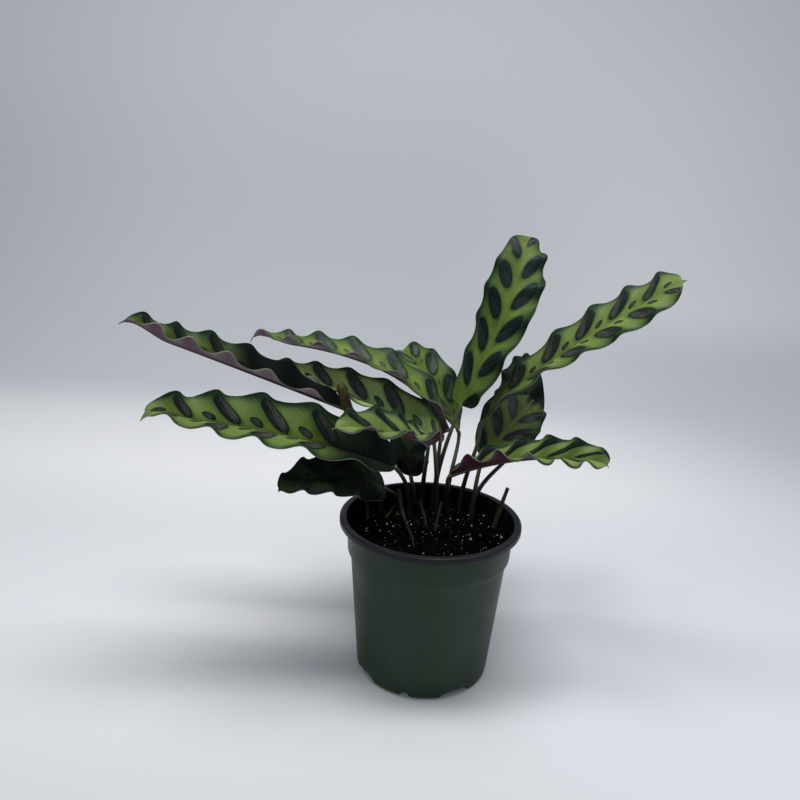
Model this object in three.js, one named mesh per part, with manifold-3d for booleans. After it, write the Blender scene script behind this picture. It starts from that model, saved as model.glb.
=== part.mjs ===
// Rattlesnake plant in its nursery pot.
//
// Thirteen narrow, waved leaves on thin stalks, one rolled new leaf and a few dry leftovers stand in the
// potting soil of a round 4.5 inch nursery pot. Millimetres and degrees, +Z up. The origin is the centre
// of the pot's underside, which is the flat face the plant rests on. -Y is the side it is looked at from.
import * as THREE from "three";
import { mergeVertices } from "three/addons/utils/BufferGeometryUtils.js";
import Module from "manifold-3d";

const wasm = await Module();
wasm.setup();

// ---------------------------------------------------------------------------------------------
// Driving dimensions
// ---------------------------------------------------------------------------------------------

const CLEARANCE = 0.3; // between any two pieces that touch on the real plant

const POT = {
  height: 104,
  wall: 1.2,
  floor: 1.6,
  footRadius: 39.6, // flat underside
  heelRadius: 42.6, // just above the rounded bottom edge
  heelHeight: 3,
  shoulderRadius: 49.5, // top of the tapered wall, under the collar
  shoulderHeight: 80,
  collarBottomRadius: 51.3,
  collarBottomHeight: 82,
  collarTopRadius: 52.2,
  lipRadius: 57,
  lipHeight: 4.2,
  lipWidth: 4.6,
  lipRounding: 0.7,
  sides: 48,
};

const DRAIN = {
  count: 4, // wide arches and small notches alternate round the bottom edge
  wideAngle: 30,
  wideFirst: -60,
  wideHeight: 5,
  smallAngle: 8,
  smallFirst: -105,
  smallHeight: 4.4,
  innerRadius: 36,
};

const SOIL = { level: 92, lump: 1.1, rings: 6, sides: 36, holeDepth: 9 };

const STALK = {
  baseRadius: 1.7,
  neckRadius: 1.15,
  rise: 0.42, // share of its length for which the stalk goes straight up before it bends
  sides: 5,
  steps: 9,
  keelRadius: 0.55, // ridge under the midrib, where it ends
  keelReach: 0.3,
  keelSteps: 5,
};

const BLADE = {
  thickness: 0.7,
  steps: 33, // along the leaf
  halfSteps: 2, // from midrib to margin
  waveRise: 1.6, // how late the wave starts between midrib and margin, as a power
  scallop: 0.45, // in-plane swing of the margin for each unit of the wave's height
  crown: 0.2, // arching of each half, as a share of its width
  lean: 0.5, // waves run on towards the tip by this share of the half width
  gather: 0.3, // waves crowd towards the tip
  rise: 0.34, // how fast the outline widens from the collar, as a power
  blunt: 0.5, // how fast it narrows before the tip
  calmStart: 0.12, // shares of the length at both ends over which the waves die out
  calmEnd: 0.1,
  hookStart: 0.86, // where the tip starts to droop
};

// One entry per leaf. soil: where the stalk leaves the soil. collar: where the blade starts. tip: its end.
// arch and sway: bow of the midrib upwards and to its right, at the share peak of the length. hook: droop
// of the last bit of the tip. roll and fold: turn of the blade about its midrib, and rise of each half
// above flat, at collar and tip. waves: margin waves along the leaf. left and right: height and phase of
// that margin's wave, seen from collar to tip with the top face up. turn: how far the stalk's end has
// already turned into the blade's direction. rise and blunt: the leaf's own values of those in BLADE.
const LEAVES = [
  { name: "leaf_left_high", soil: [-32, 30], collar: [-57, 16, 167], tip: [-182, -25, 222], turn: 0.5,
    arch: 1, sway: -3, peak: 0.6, hook: 0, width: 29, roll: [-26, -10], fold: [40, 46],
    waves: 5.9, left: [2.3, 0.55], right: [2.6, 0.07], rise: 0.55 },
  { name: "leaf_left_low", soil: [-13, 24], collar: [-24, 4, 134], tip: [-161, -60, 182], turn: 0.5,
    arch: 2, sway: 11, peak: 0.45, hook: 4, width: 43, roll: [-36, -38], fold: [36, 32],
    waves: 5.1, left: [2.8, 0.74], right: [3.6, 0.02] },
  { name: "leaf_left_back", soil: [4, 45], collar: [6, 49, 142], tip: [-127, 58, 198], turn: 0.3,
    arch: 24, sway: -5, peak: 0.37, hook: 0, width: 33, roll: [-15, 1], fold: [28, 26],
    waves: 6, left: [2.4, 0.98], right: [2.2, 0.67] },
  { name: "leaf_left_middle", soil: [5, 32], collar: [0, 29, 146], tip: [-122, 46, 188], turn: 0.2,
    arch: 3, sway: 3, peak: 0.33, hook: 0, width: 38, roll: [-25, -12], fold: [34, 38],
    waves: 5.4, left: [1.8, 0.3], right: [2, 0.16], blunt: 0.8 },
  { name: "leaf_back", soil: [12, 44], collar: [20, 78, 135], tip: [-24, 112, 185], turn: 0.5,
    arch: 15, sway: -12, peak: 0.5, hook: 3, width: 32, roll: [-35, -15], fold: [15, 25],
    waves: 3.6, left: [1.2, 0.5], right: [1.4, 0.2], blunt: 0.36 },
  { name: "leaf_upright", soil: [3, 39], collar: [17, 40, 166], tip: [53.5, 68, 279], turn: 0.7,
    arch: 4, sway: 12, peak: 0.6, hook: 5, width: 40, roll: [32, 15], fold: [0, 0],
    waves: 5.5, left: [1, 0.5], right: [3.2, 0.08], rise: 0.3, blunt: 0.38 },
  { name: "leaf_right_high", soil: [21, 38], collar: [30, 34, 151], tip: [136, -10, 262], turn: 0.6,
    arch: 9, sway: 1, peak: 0.33, hook: 0, width: 32, roll: [40, 43], fold: [34, 2],
    waves: 6.3, left: [2.1, 0.92], right: [2.4, 0.42], blunt: 0.33, rise: 0.85 },
  { name: "leaf_right_middle", soil: [29, 29], collar: [34, 36, 131], tip: [72, 79, 162], turn: 0.5,
    arch: 2, sway: 1, peak: 0.5, hook: 2, width: 38, roll: [32, 24], fold: [14, 6],
    waves: 3.4, left: [1.6, 0], right: [1.8, 0], blunt: 0.45, rise: 0.45 },
  { name: "leaf_right_rear", soil: [29, 36], collar: [59, 70, 126], tip: [66, 119, 185], turn: 0.5,
    arch: 2, sway: 2, peak: 0.5, hook: 2, width: 38, roll: [-10, -25], fold: [14, 16],
    waves: 3.6, left: [2.4, 0], right: [2.8, 0.8] },
  { name: "leaf_right_low", soil: [13, 35], collar: [12, 14, 127], tip: [98, -40, 161], turn: 0.6,
    arch: 6, sway: 0, peak: 0.5, hook: 3, width: 25, roll: [4, 40], fold: [56, 34],
    waves: 5.6, left: [2.9, 0.3], right: [3.2, 0.7], blunt: 0.32, rise: 0.48 },
  { name: "leaf_front_small", soil: [-5, 38], collar: [-4, 8, 148], tip: [-58, -75, 187], turn: 0.4,
    arch: 3, sway: -14, peak: 0.52, hook: 3, width: 31, roll: [-12, -25], fold: [34, 26],
    waves: 4.2, left: [3, 0.05], right: [2.4, 0.76], rise: 0.5 },
  { name: "leaf_left_drooping", soil: [-19, 34], collar: [-30, 20, 113], tip: [-92, -37, 133], turn: 0.7,
    arch: 9, sway: -3, peak: 0.48, hook: 2, width: 33, roll: [-50, -30], fold: [4, 14],
    waves: 4.2, left: [2.6, 0], right: [2.4, 0.6] },
  { name: "leaf_centre_shaded", soil: [-9, 44], collar: [-13, 46, 112], tip: [-15, 110, 130], turn: 0.5,
    arch: 7, sway: -2, peak: 0.5, hook: 2, width: 28, roll: [18, 20], fold: [2, 0],
    waves: 4, left: [2.2, 0], right: [2.2, 0] },
];

// The new leaf, still rolled into a spear: a thin stalk that swells into the rolled blade.
const SPEAR = {
  soil: [-40, 21],
  top: [-60, 0, 187],
  bow: [5, 16, 0],
  stalkRadius: 1.3,
  rollRadius: 2.9,
  rollStart: 0.6, // share of its length at which the stalk starts to swell
  rollFull: 0.8, // where it has reached its full girth
  crown: 0.93, // where its top starts to round off
  crownLeft: 0.2, // radius at the very top, as a share
  sides: 8,
  steps: 14,
};

// Dry leftovers. Each is a tapered piece from one end to the other through the points between.
const LEFTOVERS = [
  { name: "cut_stub_right", colour: 0x4a3a24, radii: [1.5, 1.2],
    path: [[39, 7, 84], [43, 8, 103], [48, 9, 122]] },
  { name: "dry_stub_middle", colour: 0x5a4226, radii: [1.3, 0.6],
    path: [[-1, 5, 84], [-3, 7, 98], [-7, 10, 110]] },
  { name: "dry_stub_front", colour: 0x7a5f3a, radii: [1.4, 0.6],
    path: [[3, 1, 84], [4, 3, 97], [7, 8, 111]] },
  { name: "fallen_stub", colour: 0x8a7350, radii: [0.9, 0.8],
    path: [[-21, 41, 93.9], [-25, 28, 93.7], [-29, 15, 93.3]] },
  { name: "dry_sheath", colour: 0x5b4028, radii: [1.6, 0.6],
    path: [[-21, 27, 110], [-17.5, 17, 98], [-14, 4, 94.2], [-11, -10, 93.9], [-10, -23, 93.7]] },
];

const LEFTOVER = { sides: 6, stepsPerStretch: 2 };

const COLOURS = { pot: 0x2b4236, soil: 0x14110f, leaf: 0x5f8a34, leafShaded: 0x2c4631, spear: 0x6b5a2c };

// ---------------------------------------------------------------------------------------------
// Solids
// ---------------------------------------------------------------------------------------------

// A closed triangle mesh, given as points and triples of indices, as a solid for joins and cuts.
function solidFrom(points, triangles) {
  const vertProperties = new Float32Array(points.flatMap((p) => [p.x, p.y, p.z]));
  const triVerts = new Uint32Array(triangles.flat());
  return new wasm.Manifold(new wasm.Mesh({ numProp: 3, vertProperties, triVerts }));
}

// A closed three.js geometry as a solid: only positions are kept, with shared corners merged.
function solidFromGeometry(geometry) {
  const bare = geometry.clone();
  bare.deleteAttribute("normal");
  bare.deleteAttribute("uv");
  const merged = mergeVertices(bare, 1e-4);
  return new wasm.Manifold(new wasm.Mesh({
    numProp: 3,
    vertProperties: new Float32Array(merged.attributes.position.array),
    triVerts: new Uint32Array(merged.index.array),
  }));
}

function meshFromSolid(name, solid, colour, roughness) {
  const { numProp, vertProperties, triVerts } = solid.getMesh();
  const positions = new Float32Array((vertProperties.length / numProp) * 3);
  for (let i = 0; i < positions.length / 3; i += 1) {
    positions.set(vertProperties.subarray(i * numProp, i * numProp + 3), i * 3);
  }
  const geometry = new THREE.BufferGeometry();
  geometry.setAttribute("position", new THREE.BufferAttribute(positions, 3));
  geometry.setIndex(new THREE.BufferAttribute(new Uint32Array(triVerts), 1));
  geometry.computeVertexNormals();
  const material = new THREE.MeshStandardMaterial({ color: colour, roughness, metalness: 0 });
  const mesh = new THREE.Mesh(geometry, material);
  mesh.name = name;
  return mesh;
}

// A closed tube along a list of points, with its own radius at each. Both ends are flat caps.
function tube(points, radii, sides) {
  const curve = new THREE.CatmullRomCurve3(points, false, "centripetal");
  const last = points.length - 1;
  const corners = [];
  const triangles = [];
  let side = new THREE.Vector3(1, 0, 0);
  points.forEach((centre, i) => {
    const along = curve.getTangent(i / last);
    side = side.clone().addScaledVector(along, -side.dot(along)).normalize();
    const up = new THREE.Vector3().crossVectors(along, side);
    for (let k = 0; k < sides; k += 1) {
      const angle = (2 * Math.PI * k) / sides;
      corners.push(centre.clone()
        .addScaledVector(side, radii[i] * Math.cos(angle))
        .addScaledVector(up, radii[i] * Math.sin(angle)));
    }
  });
  for (let i = 0; i < last; i += 1) {
    for (let k = 0; k < sides; k += 1) {
      const a = i * sides + k;
      const b = i * sides + ((k + 1) % sides);
      triangles.push([a, b, b + sides], [a, b + sides, a + sides]);
    }
  }
  for (let k = 1; k < sides - 1; k += 1) {
    triangles.push([0, k + 1, k], [last * sides, last * sides + k, last * sides + k + 1]);
  }
  return solidFrom(corners, triangles);
}

const lerp = THREE.MathUtils.lerp;
const smooth = (x) => THREE.MathUtils.smoothstep(x, 0, 1);
const vector = (p) => new THREE.Vector3(...p);

// ---------------------------------------------------------------------------------------------
// Pot: one thin formed shell, turned as a closed profile, with notches cut in its bottom edge
// ---------------------------------------------------------------------------------------------

// Inner radius of the pot's wall at a height.
function potInside(z) {
  if (z > POT.collarBottomHeight) {
    const share = (z - POT.collarBottomHeight) / (POT.height - POT.lipHeight - POT.collarBottomHeight);
    return lerp(POT.collarBottomRadius, POT.collarTopRadius, share) - POT.wall;
  }
  const share = (z - POT.heelHeight) / (POT.shoulderHeight - POT.heelHeight);
  return lerp(POT.heelRadius, POT.shoulderRadius, share) - POT.wall;
}

function potShell() {
  const lipBottom = POT.height - POT.lipHeight;
  const lipInside = POT.lipRadius - POT.lipWidth;
  const profile = [
    [0, 0],
    [POT.footRadius, 0],
    [lerp(POT.footRadius, POT.heelRadius, 0.65), POT.heelHeight * 0.3],
    [POT.heelRadius, POT.heelHeight],
    [POT.shoulderRadius, POT.shoulderHeight],
    [POT.collarBottomRadius, POT.collarBottomHeight],
    [POT.collarTopRadius, lipBottom],
    [POT.lipRadius - POT.lipRounding, lipBottom],
    [POT.lipRadius, lipBottom + POT.lipRounding],
    [POT.lipRadius, POT.height - POT.lipRounding],
    [POT.lipRadius - POT.lipRounding, POT.height],
    [lipInside + POT.lipRounding, POT.height],
    [lipInside, POT.height - POT.lipRounding],
    [POT.collarTopRadius - POT.wall, lipBottom],
    [POT.collarBottomRadius - POT.wall, POT.collarBottomHeight + POT.wall / 2],
    [POT.shoulderRadius - POT.wall, POT.shoulderHeight - POT.wall / 2],
    [POT.heelRadius - POT.wall, POT.heelHeight + POT.wall / 2],
    [POT.footRadius - POT.wall, POT.floor],
    [0, POT.floor],
  ].map(([r, z]) => new THREE.Vector2(r, z));
  return solidFromGeometry(new THREE.LatheGeometry(profile, POT.sides).rotateX(Math.PI / 2));
}

// A block that cuts one notch out of the bottom edge: an arched wedge about the pot's axis.
function drainNotch(middle, angle, height) {
  const outerRadius = POT.heelRadius + 4;
  const half = THREE.MathUtils.degToRad(angle / 2);
  const inner = DRAIN.innerRadius * Math.sin(half);
  const outer = outerRadius * Math.sin(half);
  const corners = [
    [DRAIN.innerRadius, inner, -1], [outerRadius, outer, -1],
    [outerRadius, -outer, -1], [DRAIN.innerRadius, -inner, -1],
    [DRAIN.innerRadius, inner * 0.7, height], [outerRadius, outer * 0.7, height],
    [outerRadius, -outer * 0.7, height], [DRAIN.innerRadius, -inner * 0.7, height],
  ].map((p) => vector(p).applyAxisAngle(new THREE.Vector3(0, 0, 1), THREE.MathUtils.degToRad(middle)));
  const faces = [
    [0, 1, 2], [0, 2, 3], [4, 6, 5], [4, 7, 6],
    [0, 5, 1], [0, 4, 5], [1, 6, 2], [1, 5, 6],
    [2, 7, 3], [2, 6, 7], [3, 4, 0], [3, 7, 4],
  ];
  return solidFrom(corners, faces);
}

function pot() {
  let solid = potShell();
  for (let i = 0; i < DRAIN.count; i += 1) {
    const turn = (360 / DRAIN.count) * i;
    solid = solid.subtract(drainNotch(DRAIN.wideFirst + turn, DRAIN.wideAngle, DRAIN.wideHeight));
    solid = solid.subtract(drainNotch(DRAIN.smallFirst + turn, DRAIN.smallAngle, DRAIN.smallHeight));
  }
  return meshFromSolid("pot", solid, COLOURS.pot, 0.45);
}

// ---------------------------------------------------------------------------------------------
// Leaves: blade and stalk grown as one piece
// ---------------------------------------------------------------------------------------------

// The midrib from collar to tip: a straight chord, bowed upwards and sideways by a parabola whose top lies
// at the share peak of the length, with its last seventh hooked down.
class Midrib extends THREE.Curve {
  constructor(leaf) {
    super();
    this.start = vector(leaf.collar);
    this.chord = vector(leaf.tip).sub(this.start);
    const along = this.chord.clone().normalize();
    this.side = new THREE.Vector3().crossVectors(along, new THREE.Vector3(0, 0, 1)).normalize();
    this.up = new THREE.Vector3().crossVectors(this.side, along);
    this.leaf = leaf;
    this.bend = Math.log(0.5) / Math.log(leaf.peak);
  }

  getPoint(v, target = new THREE.Vector3()) {
    const w = v ** this.bend;
    const bow = 4 * w * (1 - w);
    const droop = this.leaf.hook * Math.max(0, (v - BLADE.hookStart) / (1 - BLADE.hookStart)) ** 2;
    return target.copy(this.start)
      .addScaledVector(this.chord, v)
      .addScaledVector(this.up, this.leaf.arch * bow - droop)
      .addScaledVector(this.side, this.leaf.sway * bow);
  }
}

// Half width of the blade as a share of its widest: full soon after the collar, blunt before the tip.
function outline(v, rise = BLADE.rise, fall = BLADE.blunt) {
  const top = (rise / (rise + fall)) ** rise * (fall / (rise + fall)) ** fall;
  return Math.max(0.02, (v ** rise * (1 - v) ** fall) / top);
}

// Direction of the midrib, of the blade's top face and of its right-hand side at a share v of the length.
function bladeFrame(leaf, midrib, v) {
  const step = 1e-3;
  const before = midrib.getPoint(Math.max(0, v - step));
  const after = midrib.getPoint(Math.min(1, v + step));
  const along = after.sub(before).normalize();
  const level = new THREE.Vector3(0, 0, 1).addScaledVector(along, -along.z).normalize();
  const roll = THREE.MathUtils.degToRad(lerp(leaf.roll[0], leaf.roll[1], smooth(v)));
  const top = level.clone().multiplyScalar(Math.cos(roll))
    .addScaledVector(new THREE.Vector3().crossVectors(along, level), Math.sin(roll));
  const right = new THREE.Vector3().crossVectors(along, top);
  return { along, top, right };
}

// A point of the blade's middle surface. v runs from collar to tip, across from -1 at the left margin to
// 1 at the right one. Each half rises at the fold angle, arches a little, and its margin swings up and
// out in waves that die out at both ends.
function bladePoint(leaf, midrib, length, v, across) {
  const { top, right } = bladeFrame(leaf, midrib, v);
  const [hand, q] = [across < 0 ? -1 : 1, Math.abs(across)];
  const halfWidth = (leaf.width / 2) * outline(v, leaf.rise, leaf.blunt);
  const fold = THREE.MathUtils.degToRad(lerp(leaf.fold[0], leaf.fold[1], smooth(v)));
  const outward = right.clone().multiplyScalar(hand * Math.cos(fold)).addScaledVector(top, Math.sin(fold));
  const above = top.clone().multiplyScalar(Math.cos(fold)).addScaledVector(right, -hand * Math.sin(fold));
  const [height, phase] = hand < 0 ? leaf.left : leaf.right;
  const along = v - (BLADE.lean * q * halfWidth) / length;
  const gathered = along + BLADE.gather * (along * along - along);
  const calm = smooth(v / BLADE.calmStart) * smooth((1 - v) / BLADE.calmEnd);
  const wave = height * calm * q ** BLADE.waveRise * Math.sin(2 * Math.PI * (leaf.waves * gathered + phase));
  return midrib.getPoint(v)
    .addScaledVector(outward, halfWidth * q + BLADE.scallop * wave)
    .addScaledVector(above, wave + BLADE.crown * halfWidth * q * (1 - q));
}

// The blade as a thin closed solid: the middle surface moved half the thickness to each side, both faces
// split along the same diagonals, and a rim between them.
function blade(leaf, midrib, length) {
  const columns = 2 * BLADE.halfSteps + 1;
  const middle = [];
  for (let i = 0; i <= BLADE.steps; i += 1) {
    const s = i / BLADE.steps;
    const v = s - 0.3 * Math.sin(2 * Math.PI * s) / (2 * Math.PI);
    for (let j = 0; j < columns; j += 1) {
      const across = j / BLADE.halfSteps - 1;
      const eased = Math.sign(across) * Math.abs(across) ** 0.8;
      middle.push(bladePoint(leaf, midrib, length, v, eased));
    }
  }
  const grid = (i, j) => i * columns + j;
  const at = (i, j) => middle[grid(
    THREE.MathUtils.clamp(i, 0, BLADE.steps), THREE.MathUtils.clamp(j, 0, columns - 1))];
  const normals = middle.map((_, n) => {
    const [i, j] = [Math.floor(n / columns), n % columns];
    const down = at(i + 1, j).clone().sub(at(i - 1, j));
    const over = at(i, j + 1).clone().sub(at(i, j - 1));
    return new THREE.Vector3().crossVectors(over, down).normalize();
  });
  const count = middle.length;
  const points = [
    ...middle.map((p, n) => p.clone().addScaledVector(normals[n], BLADE.thickness / 2)),
    ...middle.map((p, n) => p.clone().addScaledVector(normals[n], -BLADE.thickness / 2)),
  ];
  const triangles = [];
  for (let i = 0; i < BLADE.steps; i += 1) {
    for (let j = 0; j < columns - 1; j += 1) {
      const [a, b, c, d] = [grid(i, j), grid(i, j + 1), grid(i + 1, j + 1), grid(i + 1, j)];
      triangles.push([a, b, c], [a, c, d]);
      triangles.push([a + count, c + count, b + count], [a + count, d + count, c + count]);
    }
  }
  const rim = [];
  for (let j = 0; j < columns - 1; j += 1) rim.push(grid(0, j));
  for (let i = 0; i < BLADE.steps; i += 1) rim.push(grid(i, columns - 1));
  for (let j = columns - 1; j > 0; j -= 1) rim.push(grid(BLADE.steps, j));
  for (let i = BLADE.steps; i > 0; i -= 1) rim.push(grid(i, 0));
  rim.forEach((a, n) => {
    const b = rim[(n + 1) % rim.length];
    triangles.push([a, a + count, b + count], [a, b + count, b]);
  });
  return solidFrom(points, triangles);
}

// The stalk's centre line: straight up out of the soil, then round into the blade at the collar.
function stalkCurve(leaf, midrib) {
  const root = new THREE.Vector3(leaf.soil[0], leaf.soil[1], SOIL.level);
  const collar = midrib.getPoint(0);
  const reach = collar.clone().sub(root);
  const length = reach.length();
  const arrival = reach.clone().normalize().multiplyScalar(1 - leaf.turn)
    .addScaledVector(midrib.getPoint(0.004).sub(collar).normalize(), leaf.turn).normalize();
  return new THREE.CubicBezierCurve3(
    root,
    root.clone().add(new THREE.Vector3(0, 0, length * STALK.rise)),
    collar.clone().addScaledVector(arrival, -length * 0.2),
    collar,
  );
}

// Stalk and keel in one: from its foot in the soil up to the collar, and on under the midrib as a ridge.
function stalkLine(leaf, midrib) {
  const curve = stalkCurve(leaf, midrib);
  const foot = curve.getPoint(0).add(new THREE.Vector3(0, 0, CLEARANCE - SOIL.holeDepth));
  const points = [foot];
  const radii = [STALK.baseRadius];
  for (let i = 0; i < STALK.steps; i += 1) {
    const t = i / STALK.steps;
    points.push(curve.getPoint(t));
    radii.push(lerp(STALK.baseRadius, STALK.neckRadius, t));
  }
  for (let i = 0; i <= STALK.keelSteps; i += 1) {
    const v = 0.01 + (STALK.keelReach * i) / STALK.keelSteps;
    const radius = lerp(STALK.neckRadius, STALK.keelRadius, i / STALK.keelSteps);
    const { top } = bladeFrame(leaf, midrib, v);
    points.push(midrib.getPoint(v).addScaledVector(top, -radius * 0.6));
    radii.push(radius);
  }
  return { points, radii };
}

function leafMesh(leaf) {
  const midrib = new Midrib(leaf);
  const length = midrib.getLength();
  const { points, radii } = stalkLine(leaf, midrib);
  const solid = blade(leaf, midrib, length).add(tube(points, radii, STALK.sides));
  const colour = /shaded|rear|drooping/.test(leaf.name) ? COLOURS.leafShaded : COLOURS.leaf;
  return meshFromSolid(leaf.name, solid, colour, 0.5);
}

// ---------------------------------------------------------------------------------------------
// Rolled new leaf and dry leftovers
// ---------------------------------------------------------------------------------------------

function spearLine() {
  const root = new THREE.Vector3(...SPEAR.soil, SOIL.level);
  const top = vector(SPEAR.top);
  const bend = root.clone().lerp(top, 0.5).add(vector(SPEAR.bow));
  const curve = new THREE.QuadraticBezierCurve3(root, bend, top);
  const points = [root.clone().setZ(SOIL.level - SOIL.holeDepth + CLEARANCE)];
  const radii = [SPEAR.stalkRadius];
  for (let i = 0; i <= SPEAR.steps; i += 1) {
    const t = i / SPEAR.steps;
    const rolled = smooth((t - SPEAR.rollStart) / (SPEAR.rollFull - SPEAR.rollStart));
    const rounding = Math.max(0, (t - SPEAR.crown) / (1 - SPEAR.crown));
    const left = Math.max(SPEAR.crownLeft, Math.sqrt(1 - rounding ** 2));
    points.push(curve.getPoint(t));
    radii.push(lerp(SPEAR.stalkRadius, SPEAR.rollRadius, rolled) * left);
  }
  return { points, radii };
}

function spearMesh() {
  const { points, radii } = spearLine();
  return meshFromSolid("new_leaf_rolled", tube(points, radii, SPEAR.sides), COLOURS.spear, 0.6);
}

function leftoverLine({ path, radii }) {
  const curve = new THREE.CatmullRomCurve3(path.map(vector), false, "centripetal");
  const steps = LEFTOVER.stepsPerStretch * (path.length - 1);
  const points = Array.from({ length: steps + 1 }, (_, i) => curve.getPoint(i / steps));
  return { points, radii: points.map((_, i) => lerp(radii[0], radii[1], i / steps)) };
}

function leftoverMesh(piece) {
  const { points, radii } = leftoverLine(piece);
  return meshFromSolid(piece.name, tube(points, radii, LEFTOVER.sides), piece.colour, 0.8);
}

// ---------------------------------------------------------------------------------------------
// Soil: fills the pot to below its lip, lumpy on top, with a plain hole for each stem
// ---------------------------------------------------------------------------------------------

// Height of the soil's top at a point: the level plus three sine waves, given by their share of SOIL.lump,
// how fast they run along x and y, and their phase.
const LUMPS = [[0.5, 0.31, 0.17, 0], [0.3, 0.23, -0.41, 1.3], [0.2, 0, 0.62, 0.5]];

function lumps(x, y) {
  const swell = LUMPS.reduce((sum, [share, a, b, phase]) => sum + share * Math.sin(a * x + b * y + phase), 0);
  return SOIL.level + SOIL.lump * swell;
}

function soilBody() {
  const bottom = POT.floor + CLEARANCE;
  const clearOfNotches = DRAIN.wideHeight + CLEARANCE;
  const levels = [clearOfNotches + 0.5, POT.shoulderHeight - 1, POT.collarBottomHeight + 1.5];
  const points = [];
  const triangles = [];
  const ring = (radius, height) => {
    for (let k = 0; k < SOIL.sides; k += 1) {
      const angle = (2 * Math.PI * k) / SOIL.sides;
      const [x, y] = [radius * Math.cos(angle), radius * Math.sin(angle)];
      points.push(new THREE.Vector3(x, y, height ?? lumps(x, y)));
    }
  };
  // Flats of the pot's wall lie inside its corners, so the soil keeps clear of the flats.
  const flats = Math.cos(Math.PI / POT.sides);
  ring(DRAIN.innerRadius - CLEARANCE, bottom);
  ring(DRAIN.innerRadius - CLEARANCE, clearOfNotches);
  levels.forEach((z) => ring(potInside(z) * flats - CLEARANCE, z));
  const edge = potInside(SOIL.level) * flats - CLEARANCE;
  for (let n = SOIL.rings; n > 0; n -= 1) ring((edge * n) / SOIL.rings);
  const centreBottom = points.length;
  points.push(new THREE.Vector3(0, 0, bottom), new THREE.Vector3(0, 0, lumps(0, 0)));
  const rings = 2 + levels.length + SOIL.rings;
  for (let k = 0; k < SOIL.sides; k += 1) {
    const next = (k + 1) % SOIL.sides;
    for (let n = 0; n < rings - 1; n += 1) {
      const [a, b] = [n * SOIL.sides + k, n * SOIL.sides + next];
      triangles.push([a, b, b + SOIL.sides], [a, b + SOIL.sides, a + SOIL.sides]);
    }
    const top = (rings - 1) * SOIL.sides;
    triangles.push([centreBottom, next, k], [centreBottom + 1, top + k, top + next]);
  }
  return solidFrom(points, triangles);
}

// A hole that follows a stem's foot, wider all round by the clearance.
function stemHole({ points, radii }, sides) {
  const inflate = CLEARANCE / Math.cos(Math.PI / sides);
  const path = points.slice(0, 3).map((p) => p.clone());
  path[0].z -= CLEARANCE;
  return tube(path, radii.slice(0, 3).map((r) => r + inflate), sides);
}

function soil() {
  let solid = soilBody();
  for (const leaf of LEAVES) {
    solid = solid.subtract(stemHole(stalkLine(leaf, new Midrib(leaf)), STALK.sides));
  }
  solid = solid.subtract(stemHole(spearLine(), SPEAR.sides));
  for (const piece of LEFTOVERS.filter(({ path }) => path[0][2] < SOIL.level - 2)) {
    solid = solid.subtract(stemHole(leftoverLine(piece), LEFTOVER.sides));
  }
  return meshFromSolid("soil", solid, COLOURS.soil, 0.95);
}

// ---------------------------------------------------------------------------------------------
// The plant
// ---------------------------------------------------------------------------------------------

const group = new THREE.Group();
group.add(pot(), soil());
group.add(...LEAVES.map(leafMesh));
group.add(spearMesh());
group.add(...LEFTOVERS.map(leftoverMesh));

export default group;
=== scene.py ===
"""Rattlesnake plant in its nursery pot: the looks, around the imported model."""

import bpy
import numpy as np
from mathutils import Matrix


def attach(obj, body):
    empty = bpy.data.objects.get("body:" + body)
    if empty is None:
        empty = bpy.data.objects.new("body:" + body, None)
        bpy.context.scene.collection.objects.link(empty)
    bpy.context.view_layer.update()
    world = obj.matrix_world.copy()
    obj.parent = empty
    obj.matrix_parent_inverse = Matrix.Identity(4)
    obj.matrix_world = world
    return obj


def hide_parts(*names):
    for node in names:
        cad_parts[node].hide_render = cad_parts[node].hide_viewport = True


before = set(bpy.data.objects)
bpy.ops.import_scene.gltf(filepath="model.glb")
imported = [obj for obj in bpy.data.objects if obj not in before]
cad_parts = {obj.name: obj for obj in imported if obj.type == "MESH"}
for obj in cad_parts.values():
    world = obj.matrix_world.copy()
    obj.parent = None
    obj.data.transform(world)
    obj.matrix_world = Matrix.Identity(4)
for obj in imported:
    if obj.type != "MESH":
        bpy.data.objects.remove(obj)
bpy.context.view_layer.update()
MM = 0.001

# Camera: a little above the leaves, looking down on the pot, tilted a touch to its left.
CAMERA_AT = np.array([-23.0, -462.0, 316.0]) * MM
CAMERA_DOWN = np.radians(16.5)
CAMERA_TILT = np.radians(3.0)
camera_data = bpy.data.cameras.new("camera")
camera_data.lens = 36.0
camera_data.sensor_width = 36.0
camera = bpy.data.objects.new("camera", camera_data)
bpy.context.scene.collection.objects.link(camera)
bpy.context.scene.camera = camera
ahead = np.array([0.0, np.cos(CAMERA_DOWN), -np.sin(CAMERA_DOWN)])
level_up = np.array([0.0, np.sin(CAMERA_DOWN), np.cos(CAMERA_DOWN)])
level_right = np.array([1.0, 0.0, 0.0])
camera_right = np.cos(CAMERA_TILT) * level_right + np.sin(CAMERA_TILT) * level_up
camera_up = -np.sin(CAMERA_TILT) * level_right + np.cos(CAMERA_TILT) * level_up
camera_matrix = np.eye(4)
camera_matrix[:3, 0] = camera_right
camera_matrix[:3, 1] = camera_up
camera_matrix[:3, 2] = -ahead
camera_matrix[:3, 3] = CAMERA_AT
camera.matrix_world = Matrix(camera_matrix.tolist())

# Studio: a pale paper sweep that runs from the table up behind the plant, lit by a soft panel overhead and a
# weaker one in front. The paper is painted lighter and darker from side to side, from front to back and low on
# the wall: painted light and shade, not the paper's own tone.


def grid_faces(rows, columns, closed_columns=False):
    """Quads of a rows x columns grid of points, wound so that down the rows x along the columns points out."""
    i, j = np.meshgrid(np.arange(rows - 1), np.arange(columns if closed_columns else columns - 1), indexing="ij")
    below, beside = i + 1, (j + 1) % columns
    quads = [i * columns + j, below * columns + j, below * columns + beside, i * columns + beside]
    return np.stack(quads, -1).reshape(-1, 4)


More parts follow.
